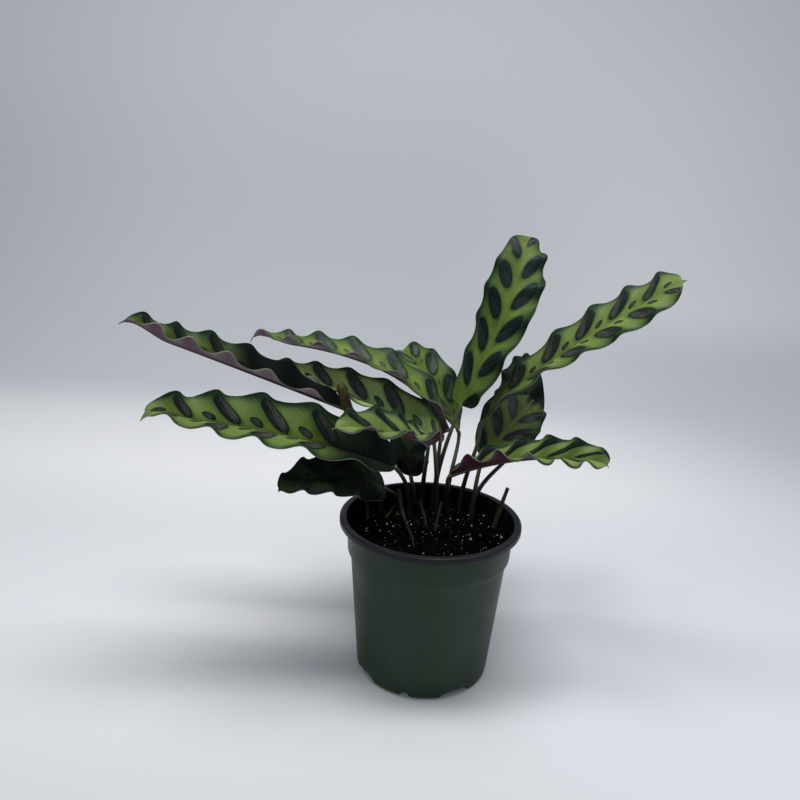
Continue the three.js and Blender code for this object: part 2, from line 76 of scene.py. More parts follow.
def new_piece(name, points, faces, materials, material_of_face=None, corner_uv=None, smooth=True):
    """A mesh object from points in millimetres and faces. corner_uv maps a UV layer's name to a pair of numbers
    for each corner of each face, in order."""
    mesh = bpy.data.meshes.new(name)
    mesh.from_pydata((np.asarray(points) * MM).tolist(), [], [list(face) for face in faces])
    for material in materials:
        mesh.materials.append(material)
    if material_of_face is not None:
        mesh.polygons.foreach_set("material_index", np.asarray(material_of_face, np.int32))
    mesh.polygons.foreach_set("use_smooth", np.full(len(mesh.polygons), smooth))
    for layer, pairs in (corner_uv or {}).items():
        mesh.uv_layers.new(name=layer).data.foreach_set("uv", np.asarray(pairs, np.float32).ravel())
    piece = bpy.data.objects.new(name, mesh)
    bpy.context.scene.collection.objects.link(piece)
    return piece


class Recipe:
    """A node material being put together: each call adds one node and returns its output."""

    def __init__(self, name):
        self.material = bpy.data.materials.new(name)
        self.material.use_nodes = True
        self.tree = self.material.node_tree
        self.shader = self.tree.nodes["Principled BSDF"]

    def set(self, **sockets):
        for socket, value in sockets.items():
            self.feed(self.shader.inputs[socket.replace("_", " ")], value)
        return self.material

    def feed(self, socket, value):
        if isinstance(value, bpy.types.NodeSocket):
            self.tree.links.new(value, socket)
        elif socket.type == "RGBA" and len(value) == 3:
            socket.default_value = (*value, 1.0)
        else:
            socket.default_value = value

    def place(self, layer=None):
        if layer is None:
            return self.tree.nodes.new("ShaderNodeTexCoord").outputs["Object"]
        node = self.tree.nodes.new("ShaderNodeUVMap")
        node.uv_map = layer
        return node.outputs["UV"]

    def stretched(self, place, scale):
        node = self.tree.nodes.new("ShaderNodeMapping")
        self.feed(node.inputs["Vector"], place)
        node.inputs["Scale"].default_value = scale
        return node.outputs["Vector"]

    def split(self, vector):
        node = self.tree.nodes.new("ShaderNodeSeparateXYZ")
        self.feed(node.inputs[0], vector)
        return node.outputs["X"], node.outputs["Y"], node.outputs["Z"]

    def join(self, x, y, z=0.0):
        node = self.tree.nodes.new("ShaderNodeCombineXYZ")
        for socket, value in zip(node.inputs, (x, y, z)):
            self.feed(socket, value)
        return node.outputs[0]

    def math(self, operation, *values, clamp=False):
        node = self.tree.nodes.new("ShaderNodeMath")
        node.operation = operation
        node.use_clamp = clamp
        for socket, value in zip(node.inputs, values):
            self.feed(socket, value)
        return node.outputs[0]

    def ramp(self, value, low, high, out_low=0.0, out_high=1.0):
        """value from low..high to out_low..out_high, eased at both ends."""
        node = self.tree.nodes.new("ShaderNodeMapRange")
        node.interpolation_type = "SMOOTHSTEP"
        for socket, number in zip(node.inputs, (value, low, high, out_low, out_high)):
            self.feed(socket, number)
        return node.outputs[0]

    def noise(self, place, scale, detail=3.0, roughness=0.5):
        node = self.tree.nodes.new("ShaderNodeTexNoise")
        self.feed(node.inputs["Vector"], place)
        node.inputs["Scale"].default_value = scale
        node.inputs["Detail"].default_value = detail
        node.inputs["Roughness"].default_value = roughness
        return node.outputs["Fac"]

    def mix(self, share, first, second):
        node = self.tree.nodes.new("ShaderNodeMix")
        node.data_type = "RGBA"
        self.feed(node.inputs["Factor"], share)
        self.feed(node.inputs[6], first)
        self.feed(node.inputs[7], second)
        return node.outputs[2]

    def bump(self, height, strength=1.0, distance=0.0002):
        node = self.tree.nodes.new("ShaderNodeBump")
        self.feed(node.inputs["Height"], height)
        node.inputs["Strength"].default_value = strength
        node.inputs["Distance"].default_value = distance
        return node.outputs["Normal"]


SWEEP_FRONT, SWEEP_FOOT, SWEEP_RADIUS, SWEEP_TOP, SWEEP_HALF_WIDTH = -900.0, 620.0, 420.0, 1700.0, 1700.0
turn = np.linspace(0, np.pi / 2, 24)
sweep_y = np.concatenate([[SWEEP_FRONT], SWEEP_FOOT + SWEEP_RADIUS * np.sin(turn), [SWEEP_FOOT + SWEEP_RADIUS]])
sweep_z = np.concatenate([[0.0], SWEEP_RADIUS * (1 - np.cos(turn)), [SWEEP_TOP]])
sides = np.array([SWEEP_HALF_WIDTH, -SWEEP_HALF_WIDTH])
sweep_points = np.stack(
    [np.tile(sides, len(sweep_y)), np.repeat(sweep_y, 2), np.repeat(sweep_z, 2)], -1)
paper = Recipe("sweep_paper")
paper_x, paper_y, paper_z = paper.split(paper.place())
# Painted light and shade: the paper is lighter or darker by place, on the wall by height and side, on the table
# towards the front, the back and the sides.
wall = paper.mix(paper.ramp(paper_x, -0.5, 0.0), (0.80, 0.82, 0.86), (0.75, 0.77, 0.805))
wall = paper.mix(paper.ramp(paper_x, 0.0, 0.5), wall, (0.94, 0.95, 0.985))
wall = paper.mix(paper.ramp(paper_z, 0.2, 0.6), wall, (0.90, 0.915, 0.955))
# Painted shade: the wall is darker just above the floor, on the right.
low_wall_shade = paper.math("MULTIPLY", paper.ramp(paper_z, 0.11, 0.02), paper.ramp(paper_x, 0.05, 0.4))
wall = paper.mix(low_wall_shade, wall, (0.76, 0.79, 0.83))
table = paper.mix(paper.ramp(paper_x, -0.2, 0.2), (0.79, 0.80, 0.83), (0.75, 0.765, 0.80))
far = paper.mix(paper.ramp(paper_x, 0.05, 0.55), (0.97, 0.975, 0.99), (0.69, 0.72, 0.765))
table = paper.mix(paper.ramp(paper_y, 0.15, 0.36), table, far)
near = paper.mix(paper.ramp(paper_x, -0.05, 0.25), (0.63, 0.64, 0.662), (0.745, 0.755, 0.785))
table = paper.mix(paper.ramp(paper_y, 0.02, -0.26), table, near)
paper.set(
    Base_Color=paper.mix(paper.ramp(paper_y, 0.46, 0.65), table, wall),
    Roughness=0.9,
    Specular_IOR_Level=0.1,
)
sweep = new_piece("sweep", sweep_points, grid_faces(len(sweep_y), 2), [paper.material])


def panel_light(name, at, towards, width, height, power, colour):
    data = bpy.data.lights.new(name, "AREA")
    data.shape = "RECTANGLE"
    data.size, data.size_y = width, height
    data.energy = power
    data.color = colour
    light = bpy.data.objects.new(name, data)
    bpy.context.scene.collection.objects.link(light)
    back = np.array(at) - np.array(towards)
    back /= np.linalg.norm(back)
    across = np.cross([0.0, 1.0, 0.0] if abs(back[2]) > 0.95 else [0.0, 0.0, 1.0], back)
    across /= np.linalg.norm(across)
    matrix = np.eye(4)
    matrix[:3, 0] = across
    matrix[:3, 1] = np.cross(back, across)
    matrix[:3, 2] = back
    matrix[:3, 3] = at
    light.matrix_world = Matrix(matrix.tolist())


panel_light("ceiling_panel", (0.0, -0.045, 1.0), (0.0, 0.0, 0.05), 0.9, 0.22, 8.3, (1.0, 1.0, 1.0))
panel_light("front_panel", (-0.2, -1.2, 0.9), (0.0, 0.0, 0.12), 1.0, 0.7, 3.3, (0.95, 0.97, 1.0))
world = bpy.data.worlds.new("room")
world.use_nodes = True
world.node_tree.nodes["Background"].inputs["Color"].default_value = (0.86, 0.91, 1.0, 1.0)
world.node_tree.nodes["Background"].inputs["Strength"].default_value = 0.18
bpy.context.scene.world = world
bpy.context.scene.view_settings.view_transform = "Standard"

# Pot: thin formed plastic, green outside and black on the lip, turned from one profile; inside, the same black
# plastic is painted darker still, as painted shade. Wide arches and small drain notches are pressed into its
# bottom edge by turns.
POT_STEPS = 288
GREEN = (0.0046, 0.0232, 0.0076)
BLACK = (0.003, 0.0042, 0.0075)
pot_outside = [
    (0, 0), (30, 0), (35.6, 0), (36.2, 0), (38.6, 0), (39.6, 0.05), (40.6, 0.3), (41.4, 0.8), (42.0, 1.5),
    (42.35, 2.3), (42.5, 3.0), (42.62, 3.4), (42.5, 3.75), (42.62, 4.1), (42.9, 6), (43.9, 18), (44.95, 30),
    (46, 42), (47.05, 54), (48.1, 66), (49.1, 77.5), (49.35, 79.4), (49.55, 80.3), (50.1, 81.1), (50.75, 81.5),
    (51.15, 81.9), (51.3, 82.5), (51.35, 83.2), (51.55, 87), (51.8, 92), (52.05, 97), (52.15, 98.6),
    (52.35, 99.4), (52.9, 99.75), (54, 99.8), (56.2, 99.8)]
pot_lip = [
    (56.6, 99.9), (56.88, 100.15), (57, 100.5), (57.02, 101.3), (57, 103.1), (56.9, 103.5), (56.6, 103.82),
    (56.2, 104), (55.2, 104.05), (54, 104), (53.2, 103.85), (52.7, 103.55), (52.4, 103), (52.2, 102),
    (51.6, 100.4), (51.05, 99.2), (50.9, 97), (50.4, 88), (50.1, 82.6), (49.6, 81.9), (48.7, 81.2), (48.3, 80.2),
    (48.1, 78.5), (44.2, 34), (41.6, 5), (41.2, 3.6), (40.6, 2.4), (39.6, 1.9), (38.5, 1.7), (36.4, 1.62),
    (34.6, 1.6), (33.8, 1.6), (20, 1.6), (0, 1.6)]
LIP_RINGS = 12
NOTCHES = [(-60.0, 15.0, 5.0), (-105.0, 4.0, 4.4)]  # middle in degrees, half its width, height
NOTCH_WALL = 1.2
NOTCH_DEPTH_OUTSIDE, NOTCH_DEPTH_INSIDE = (35.7, 36.1), (34.4, 35.0)  # radii where a notch starts and is full
FOOT_RINGS, FLOOR_RINGS = 14, 11  # how many of the profile's first and last rings the notches reach


def notch_height(angle):
    """Height of the bottom edge at each angle: an arch sqrt(1 - d^4) across each notch, four of each kind."""
    height = np.zeros_like(angle)
    for middle, half, top in NOTCHES:
        offset = (angle - middle + 45) % 90 - 45
        height = np.maximum(height, top * np.sqrt(np.clip(1 - (offset / half) ** 4, 0, 1)))
    return height


profile = np.array(pot_outside + pot_lip, float)
angle = np.linspace(0, 360, POT_STEPS, endpoint=False)
radius, height = np.broadcast_arrays(profile[1:-1, 0, None], profile[1:-1, 1, None])
radius = np.repeat(radius, POT_STEPS, 1)
height = np.repeat(height, POT_STEPS, 1)
ring_number = np.arange(len(profile) - 2)[:, None]
pressed = notch_height(angle)
outer_lift = np.interp(radius, NOTCH_DEPTH_OUTSIDE, (0, 1)) * (ring_number < FOOT_RINGS) * pressed
inner_pressed = np.where(pressed > 0, pressed + NOTCH_WALL, 0)
inner_lift = np.interp(radius, NOTCH_DEPTH_INSIDE, (0, 1)) * (ring_number >= len(profile) - FLOOR_RINGS)
inner_lift = inner_lift * inner_pressed
height = np.maximum(height, np.maximum(outer_lift, inner_lift))
ring = np.stack([radius * np.cos(np.radians(angle)), radius * np.sin(np.radians(angle)), height], -1)
ring = ring.reshape(-1, 3)
pot_points = np.vstack([ring, [[0, 0, profile[0, 1]], [0, 0, profile[-1, 1]]]])
walls = grid_faces(len(profile) - 2, POT_STEPS, closed_columns=True)[:, ::-1]
first = np.arange(POT_STEPS)
after = (first + 1) % POT_STEPS
last_ring = (len(profile) - 3) * POT_STEPS
under = np.stack([np.full(POT_STEPS, len(ring)), after, first], -1)
inside = np.stack([np.full(POT_STEPS, len(ring) + 1), last_ring + first, last_ring + after], -1)
pot_faces = [*walls.tolist(), *under.tolist(), *inside.tolist()]
row = np.repeat(np.arange(len(profile) - 3), POT_STEPS)
pot_colour = (row >= len(pot_outside) - 2).astype(int) + (row >= len(pot_outside) - 2 + LIP_RINGS)
pot_colour = np.concatenate([pot_colour, np.zeros(POT_STEPS), np.full(POT_STEPS, 2)])

green = Recipe("green_pot_plastic")
place = green.place()
flow = green.noise(green.stretched(place, (60, 60, 6)), 1.0, 4.0)
speck = green.noise(place, 900.0, 2.0)
green.set(
    Base_Color=green.mix(green.ramp(flow, 0.3, 0.75), GREEN, (0.0072, 0.0285, 0.0098)),
    Roughness=green.ramp(green.noise(place, 45.0, 5.0), 0.3, 0.7, 0.4, 0.5),
    Specular_IOR_Level=0.36,
    Normal=green.bump(green.math("ADD", green.math("MULTIPLY", flow, 2.0), green.math("MULTIPLY", speck, 0.12)),
                      0.35, 0.0004),
)
black = Recipe("black_lip_plastic")
place = black.place()
black.set(
    Base_Color=black.mix(black.noise(place, 60.0, 4.0), BLACK, (0.008, 0.0095, 0.014)),
    Roughness=black.ramp(black.noise(place, 120.0, 4.0), 0.3, 0.7, 0.36, 0.52),
    Specular_IOR_Level=0.3,
    Normal=black.bump(black.noise(black.stretched(place, (400, 400, 90)), 1.0, 3.0), 0.25, 0.0002),
)
# Painted shade: inside the pot, the lip's black plastic gets a darker colour where the shadow above the soil falls.
pot_inside_shade = Recipe("pot_inside_painted_shade")
pot_inside_shade.set(
    Base_Color=pot_inside_shade.mix(pot_inside_shade.noise(pot_inside_shade.place(), 90.0, 4.0), (0.0012, 0.0012, 0.0016), (0.0035, 0.0032, 0.0032)),
    Roughness=0.8,
    Specular_IOR_Level=0.06,
)
pot = new_piece("pot_shell", pot_points, pot_faces, [green.material, black.material, pot_inside_shade.material], pot_colour)
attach(pot, "root")
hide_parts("pot")

# Soil: dark, loose potting mix, lumpy on top, level with the pot's shoulder bead. Crumbs, bark slivers and white
# perlite grains lie on it, each a small angular lump pressed a little way in.
SOIL_LEVEL, SOIL_EDGE, SOIL_FOOT = 92.0, 50.2, 6.5
SOIL_ROWS, SOIL_STEPS = 110, 300
chance = np.random.default_rng(11)
LUMP_WAVES, LUMP_STEEPNESS = 56, 0.019
wave_length = 2.2 * 1.045 ** np.arange(LUMP_WAVES)
wave_turn = chance.uniform(0, 2 * np.pi, LUMP_WAVES)
wave_start = chance.uniform(0, 2 * np.pi, LUMP_WAVES)


def soil_height(x, y):
    """The level plus a sum of cosine waves in random directions, each as high as a small share of its length."""
    phase = x[..., None] * np.cos(wave_turn) + y[..., None] * np.sin(wave_turn)
    lumps = np.cos(phase * 2 * np.pi / wave_length + wave_start) * LUMP_STEEPNESS * wave_length
    return SOIL_LEVEL + lumps.sum(-1)


ring_radius = SOIL_EDGE * np.linspace(1, 0, SOIL_ROWS + 1)[:-1] ** 0.8
around = np.linspace(0, 2 * np.pi, SOIL_STEPS, endpoint=False)
soil_x = ring_radius[:, None] * np.cos(around)
soil_y = ring_radius[:, None] * np.sin(around)
soil_top = np.stack([soil_x, soil_y, soil_height(soil_x, soil_y)], -1)
wall_radius = np.array([[33.5], [41.2], [48.1], [49.6]])
wall_height = np.array([[SOIL_FOOT], [7.4], [80.5], [83.0]])
soil_wall = np.stack([wall_radius * np.cos(around), wall_radius * np.sin(around),
                      np.repeat(wall_height, SOIL_STEPS, 1)], -1)
soil_points = np.vstack([soil_wall.reshape(-1, 3), soil_top.reshape(-1, 3),
                         [[0, 0, SOIL_FOOT], [0, 0, soil_height(np.zeros(1), np.zeros(1))[0]]]])
soil_rows = len(wall_radius) + SOIL_ROWS
soil_walls = grid_faces(soil_rows, SOIL_STEPS, closed_columns=True)[:, ::-1]
first = np.arange(SOIL_STEPS)
after = (first + 1) % SOIL_STEPS
end = soil_rows * SOIL_STEPS
soil_under = np.stack([np.full(SOIL_STEPS, end), after, first], -1)
soil_cap = np.stack([np.full(SOIL_STEPS, end + 1), end - SOIL_STEPS + first, end - SOIL_STEPS + after], -1)

mix = Recipe("potting_mix")
place = mix.place()
grain = mix.noise(place, 700.0, 4.0, 0.65)
damp = mix.noise(place, 70.0, 3.0)
mix.set(
    Base_Color=mix.mix(mix.ramp(grain, 0.42, 0.7),
                       mix.mix(damp, (0.0006, 0.0006, 0.0007), (0.0014, 0.0012, 0.0012)), (0.006, 0.005, 0.004)),
    Roughness=mix.ramp(damp, 0.3, 0.7, 0.72, 0.95),
    Specular_IOR_Level=0.02,
    Normal=mix.bump(mix.math("ADD", grain, mix.noise(place, 2200.0, 2.0)), 0.9, 0.0007),
)
soil = new_piece("soil_bed", soil_points, [*soil_walls.tolist(), *soil_under.tolist(), *soil_cap.tolist()],
                 [mix.material])
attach(soil, "root")
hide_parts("soil")

GOLD = (1 + 5 ** 0.5) / 2
lump_points = np.array([(0, a, b * GOLD) for a in (-1, 1) for b in (-1, 1)]
                       + [(a, b * GOLD, 0) for a in (-1, 1) for b in (-1, 1)]
                       + [(b * GOLD, 0, a) for a in (-1, 1) for b in (-1, 1)]) / np.hypot(1, GOLD)
near = np.linalg.norm(lump_points[:, None] - lump_points[None], axis=-1) < 1.1
trio = [(a, b, c) for a in range(12) for b in range(a) for c in range(b)
        if near[a, b] and near[b, c] and near[a, c]]
lump_faces = np.array([
    face if np.linalg.det(lump_points[list(face)]) > 0 else face[::-1] for face in trio])


def scattered(name, material, count, size, stretch, sink, reach):
    """count twenty-sided lumps on the soil. Each is the icosahedron with its corners pushed in or out at random,
    stretched, turned about a random axis, and set down with the share sink of its size under the surface."""
    spread = reach * np.sqrt(chance.uniform(0, 1, count))
    turned = chance.uniform(0, 2 * np.pi, count)
    x, y = spread * np.cos(turned), spread * np.sin(turned)
    size = chance.uniform(*size, count)[:, None, None]
    shape = lump_points * chance.uniform(0.72, 1.12, (count, 12, 1)) * size * np.array(stretch)
    spin = chance.uniform(0, 2 * np.pi, count)[:, None]
    tip = chance.normal(0, 0.5, count)[:, None]
    px = shape[..., 0] * np.cos(tip) - shape[..., 2] * np.sin(tip)
    pz = shape[..., 0] * np.sin(tip) + shape[..., 2] * np.cos(tip)
    lifted = soil_height(x, y) + size[:, 0, 0] * stretch[2] * (1 - 2 * sink)
    points = np.stack([px * np.cos(spin) - shape[..., 1] * np.sin(spin) + x[:, None],
                       px * np.sin(spin) + shape[..., 1] * np.cos(spin) + y[:, None],
                       pz + lifted[:, None]], -1)
    faces = (lump_faces[None] + 12 * np.arange(count)[:, None, None]).reshape(-1, 3)
    piece = new_piece(name, points.reshape(-1, 3), faces.tolist(), [material], smooth=False)
    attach(piece, "root")


def crumb_material(name, dark, light, rough):
    recipe = Recipe(name)
    place = recipe.place()
    patch = recipe.noise(place, 330.0, 2.0)
    return recipe.set(
        Base_Color=recipe.mix(recipe.ramp(patch, 0.35, 0.65), dark, light),
        Roughness=rough,
        Specular_IOR_Level=0.03,
        Normal=recipe.bump(recipe.noise(place, 2600.0, 3.0), 0.6, 0.0003),
    )


crumb = crumb_material("soil_crumb", (0.0006, 0.0006, 0.0007), (0.0035, 0.0028, 0.0024), 0.9)
bark = crumb_material("bark_sliver", (0.004, 0.0027, 0.0018), (0.026, 0.017, 0.010), 0.85)
perlite = crumb_material("perlite_grain", (0.22, 0.21, 0.18), (0.62, 0.6, 0.54), 0.85)
granule = crumb_material("soil_granule", (0.07, 0.065, 0.03), (0.16, 0.145, 0.08), 0.8)
scattered("soil_crumbs", crumb, 1700, (0.45, 1.7), (1.0, 0.8, 0.7), 0.4, 48.0)
scattered("bark_slivers", bark, 120, (0.4, 1.1), (2.6, 0.7, 0.4), 0.35, 45.5)
scattered("perlite_dust", perlite, 260, (0.18, 0.5), (1.0, 0.85, 0.75), 0.3, 47.0)
scattered("perlite_grains", perlite, 42, (0.5, 1.15), (1.0, 0.85, 0.75), 0.3, 46.0)
scattered("perlite_chips", granule, 9, (0.9, 1.7), (1.0, 0.7, 0.6), 0.35, 44.0)

# Leaves: each blade and its stalk grew as one. The blade is a thin sheet, folded up along its midrib, with wavy
# margins; its top is yellow green with dark oval blotches, its underside maroon. The stalk runs on under the
# midrib as a keel. Places and shapes are the frame's: mm and degrees, measured from collar to tip. Each top also
# gets painted shade (tone up to 1) or painted light (tone down to -1, a pale green) by its tip, base and
# change-over values, and a sheen painted on its blotches.
LEAVES = {
    "leaf_left_high": dict(
        soil=(-32, 30), collar=(-57, 16, 167), tip=(-182, -25, 222), turn=0.5,
        arch=1, sway=-3, peak=0.6, hook=0, width=29, roll=(-26, -10), fold=(40, 46),
        waves=5.9, left=(2.3, 0.55), right=(2.6, 0.07), rise=0.55,
        painted_shading=(0.4, 1, 0.66), fill=0.2, spots=0.7, painted_sheen=0.6, nod=4, pull=0),
    "leaf_left_low": dict(
        soil=(-13, 24), collar=(-24, 4, 134), tip=(-161, -60, 182), turn=0.5,
        arch=2, sway=11, peak=0.45, hook=4, width=43, roll=(-36, -38), fold=(36, 32),
        waves=5.1, left=(2.8, 0.74), right=(3.6, 0.02),
        painted_shading=(-0.2, 0.97, 0.42), fill=0.21, spots=1.1, painted_sheen=0.85, nod=3, pull=2),
    "leaf_left_back": dict(
        soil=(4, 45), collar=(6, 49, 142), tip=(-127, 58, 198), turn=0.3,
        arch=24, sway=-5, peak=0.37, hook=0, width=33, roll=(-15, 1), fold=(28, 26),
        waves=6, left=(2.4, 0.98), right=(2.2, 0.67),
        painted_shading=(0, 0.1, 0.3), fill=0.27, spots=0.8, painted_sheen=1.3, nod=4, pull=3),
    "leaf_left_middle": dict(
        soil=(5, 32), collar=(0, 29, 146), tip=(-122, 46, 188), turn=0.2,
        arch=3, sway=3, peak=0.33, hook=0, width=38, roll=(-25, -12), fold=(34, 38),
        waves=5.4, left=(1.8, 0.3), right=(2, 0.16), blunt=0.8,
        painted_shading=(-0.9, -0.35, 0.35), fill=0.24, spots=1.1, painted_sheen=0.9),
    "leaf_back": dict(
        soil=(12, 44), collar=(20, 78, 135), tip=(-24, 112, 185), turn=0.5,
        arch=15, sway=-12, peak=0.5, hook=3, width=32, roll=(-35, -15), fold=(15, 25),
        waves=3.6, left=(1.2, 0.5), right=(1.4, 0.2), blunt=0.36,
        painted_shading=(0.05, 0.05, 0.1), fill=0.34, spots=0.5, painted_sheen=1.4, point=0.02),
    "leaf_upright": dict(
        soil=(3, 39), collar=(17, 40, 166), tip=(53.5, 68, 279), turn=0.7,
        arch=4, sway=12, peak=0.6, hook=5, width=40, roll=(32, 15), fold=(0, 0),
        waves=5.5, left=(1, 0.5), right=(3.2, 0.08), rise=0.3, blunt=0.38,
        painted_shading=(0.14, 0.22, 0.3), fill=0.35, spots=0.1, painted_sheen=0.15, slant=1, point=0.02, nod=0, pull=3.5),
    "leaf_right_high": dict(
        soil=(21, 38), collar=(30, 34, 151), tip=(136, -10, 262), turn=0.6,
        arch=9, sway=1, peak=0.33, hook=0, width=32, roll=(40, 43), fold=(34, 2),
        waves=6.3, left=(2.1, 0.92), right=(2.4, 0.42), rise=0.85, blunt=0.33,
        painted_shading=(-0.2, 0.45, 0.35), fill=0.27, spots=0.9, painted_sheen=0.8, pull=2),
    "leaf_right_middle": dict(
        soil=(29, 29), collar=(34, 36, 131), tip=(72, 79, 162), turn=0.5,
        arch=2, sway=1, peak=0.5, hook=2, width=38, roll=(32, 24), fold=(14, 6),
        waves=3.4, left=(1.6, 0), right=(1.8, 0), rise=0.45, blunt=0.45,
        painted_shading=(0.5, 0.45, 1), fill=0.31, spots=0.1, painted_sheen=0.04, point=0.03),
    "leaf_right_rear": dict(
        soil=(29, 36), collar=(59, 70, 126), tip=(66, 119, 185), turn=0.5,
        arch=2, sway=2, peak=0.5, hook=2, width=38, roll=(-10, -25), fold=(14, 16),
        waves=3.6, left=(2.4, 0), right=(2.8, 0.8),
        painted_shading=(0.88, 0.88, 1), fill=0.25, spots=0.5, painted_sheen=0.3),
    "leaf_right_low": dict(
        soil=(13, 35), collar=(12, 14, 127), tip=(98, -40, 161), turn=0.6,
        arch=6, sway=0, peak=0.5, hook=3, width=25, roll=(4, 40), fold=(56, 34),
        waves=5.6, left=(2.9, 0.3), right=(3.2, 0.7), rise=0.48, blunt=0.32,
        painted_shading=(-0.4, -0.1, 0.3), fill=0.21, spots=0.1, painted_sheen=0.3, slant=2.2, point=0.03, nod=0, pull=3),
    "leaf_front_small": dict(
        soil=(-5, 38), collar=(-4, 8, 148), tip=(-58, -75, 187), turn=0.4,
        arch=3, sway=-14, peak=0.52, hook=3, width=31, roll=(-12, -25), fold=(34, 26),
        waves=4.2, left=(3, 0.05), right=(2.4, 0.76), rise=0.5,
        painted_shading=(-0.22, -0.05, 0.2), fill=0.25, spots=0.1, painted_sheen=0.4, slant=1.4, point=0.02, nod=0, pull=3),
    "leaf_left_drooping": dict(
        soil=(-19, 34), collar=(-30, 20, 113), tip=(-92, -37, 133), turn=0.7,
        arch=9, sway=-3, peak=0.48, hook=2, width=33, roll=(-50, -30), fold=(4, 14),
        waves=4.2, left=(2.6, 0), right=(2.4, 0.6),
        painted_shading=(0.88, 0.93, 0.9), fill=0.22, spots=0.6, painted_sheen=0.5, nod=0),
    "leaf_centre_shaded": dict(
        soil=(-9, 44), collar=(-13, 46, 112), tip=(-15, 110, 130), turn=0.5,
        arch=7, sway=-2, peak=0.5, hook=2, width=28, roll=(18, 20), fold=(2, 0),
        waves=4, left=(2.2, 0), right=(2.2, 0),
        painted_shading=(0.9, 0.9, 1), fill=0.25, spots=0.5, painted_sheen=0.3),
}
BLADE_THICKNESS = 0.5
WAVE_RISE, SCALLOP, CROWN, LEAN, GATHER, CREST = 1.6, 0.45, 0.2, 0.5, 0.3, 0.16
OUTLINE_RISE, OUTLINE_BLUNT = 0.34, 0.5
POINT_START, POINT_WIDTH = 0.972, 0.07
NOD_START, TIP_NOD, TIP_PULL = 0.94, 1.0, 3.0
ALONG_STEPS, HALF_STEPS = 150, 18
STALK_BASE, STALK_NECK, STALK_RISE, KEEL_END = 1.7, 1.15, 0.42, 0.28
STALK_STEPS, STALK_SIDES, STALK_DEPTH = 60, 12, 6.0


def eased(x):
    x = np.clip(x, 0, 1)
    return x * x * (3 - 2 * x)


def unit(vectors):
    return vectors / np.linalg.norm(vectors, axis=-1, keepdims=True)


def midrib(leaf, v):
    """The chord from collar to tip, plus a bow 4w(1 - w) up and sideways with w = v bent so that the bow's top
    lies at the leaf's peak, less a droop that grows as a square over the last seventh. Short of the tip the line
    is held up by the nod, which it loses again over the very end, so that the point hangs, and the end is drawn
    back by the pull."""
    start, end = np.array(leaf["collar"], float), np.array(leaf["tip"], float)
    along = unit(end - start)
    side = unit(np.cross(along, [0, 0, 1]))
    up = np.cross(side, along)
    w = v ** (np.log(0.5) / np.log(leaf["peak"]))
    bow = (4 * w * (1 - w))[:, None]
    droop = (leaf["hook"] * np.clip((v - 0.86) / 0.14, 0, None) ** 2)[:, None]
    ending = np.clip((v - NOD_START) / (1 - NOD_START), 0, 1) ** 2
    held = np.array([0, 0, 1]) * (leaf.get("nod", TIP_NOD) * (eased((v - 0.8) / 0.14) - ending))[:, None]
    short = along * (leaf.get("pull", TIP_PULL) * ending)[:, None]
    bowed = start + v[:, None] * (end - start) + bow * (leaf["arch"] * up + leaf["sway"] * side)
    return bowed - droop * up + held - short


def blade_frame(leaf, v):
    """Along the midrib, out of the top face and to the right: the level frame turned by the roll."""
    along = unit(midrib(leaf, np.minimum(v + 1e-3, 1)) - midrib(leaf, np.maximum(v - 1e-3, 0)))
    level = unit(np.array([0, 0, 1]) - along * along[:, 2:])
    roll = np.radians(leaf["roll"][0] + (leaf["roll"][1] - leaf["roll"][0]) * eased(v))[:, None]
    top = level * np.cos(roll) + np.cross(along, level) * np.sin(roll)
    return along, top, np.cross(along, top)


def half_width(leaf, v):
    """v^a (1 - v)^b, scaled to half the leaf's width at its widest, with the very end drawn out to a thin point."""
    a, b = leaf.get("rise", OUTLINE_RISE), leaf.get("blunt", OUTLINE_BLUNT)
    widest = (a / (a + b)) ** a * (b / (a + b)) ** b
    body = np.clip(v / POINT_START, 0, 1)
    point = leaf.get("point", POINT_WIDTH) * np.clip((1 - v) / (1 - POINT_START), 0.1, 1)
    return leaf["width"] / 2 * np.maximum(body ** a * (1 - body) ** b / widest, point)


def leaf_length(leaf):
    return np.linalg.norm(np.diff(midrib(leaf, np.linspace(0, 1, 200)), axis=0), axis=1).sum()


def waves_to(leaf, v, q, lean):
    """How many margin waves lie between the collar and a point, counted along lines that lean to the tip."""
    along = v - lean * q * half_width(leaf, v) / leaf_length(leaf)
    return leaf["waves"] * (along + GATHER * (along * along - along))


def blade_surface(leaf, v, t):
    """Middle surface of the blade. Each half goes out at the fold angle and arches as q(1 - q); its margin swings
    by sin(2 pi waves) - CREST cos(4 pi waves), which makes crests sharper than troughs, times q^WAVE_RISE."""
    along, top, right = blade_frame(leaf, v)
    v, t = v[:, None], t[None, :]
    q, hand = np.abs(t), np.where(t < 0, -1.0, 1.0)
    fold = np.radians(leaf["fold"][0] + (leaf["fold"][1] - leaf["fold"][0]) * eased(v))
    width = half_width(leaf, v)
    height = np.where(t < 0, leaf["left"][0], leaf["right"][0])
    phase = 2 * np.pi * (waves_to(leaf, v, q, LEAN) + np.where(t < 0, leaf["left"][1], leaf["right"][1]))
    calm = eased(v / 0.12) * eased((1 - v) / 0.1)
    wave = height * calm * q ** WAVE_RISE * (np.sin(phase) - CREST * np.cos(2 * phase))
    outward = right[:, None] * (hand * np.cos(fold))[..., None] + top[:, None] * np.sin(fold)[..., None]
    above = top[:, None] * np.cos(fold)[..., None] - right[:, None] * (hand * np.sin(fold))[..., None]
    middle = midrib(leaf, v[:, 0])[:, None] + outward * (width * q + SCALLOP * wave)[..., None]
    return middle + above * (wave + CROWN * width * q * (1 - q))[..., None]


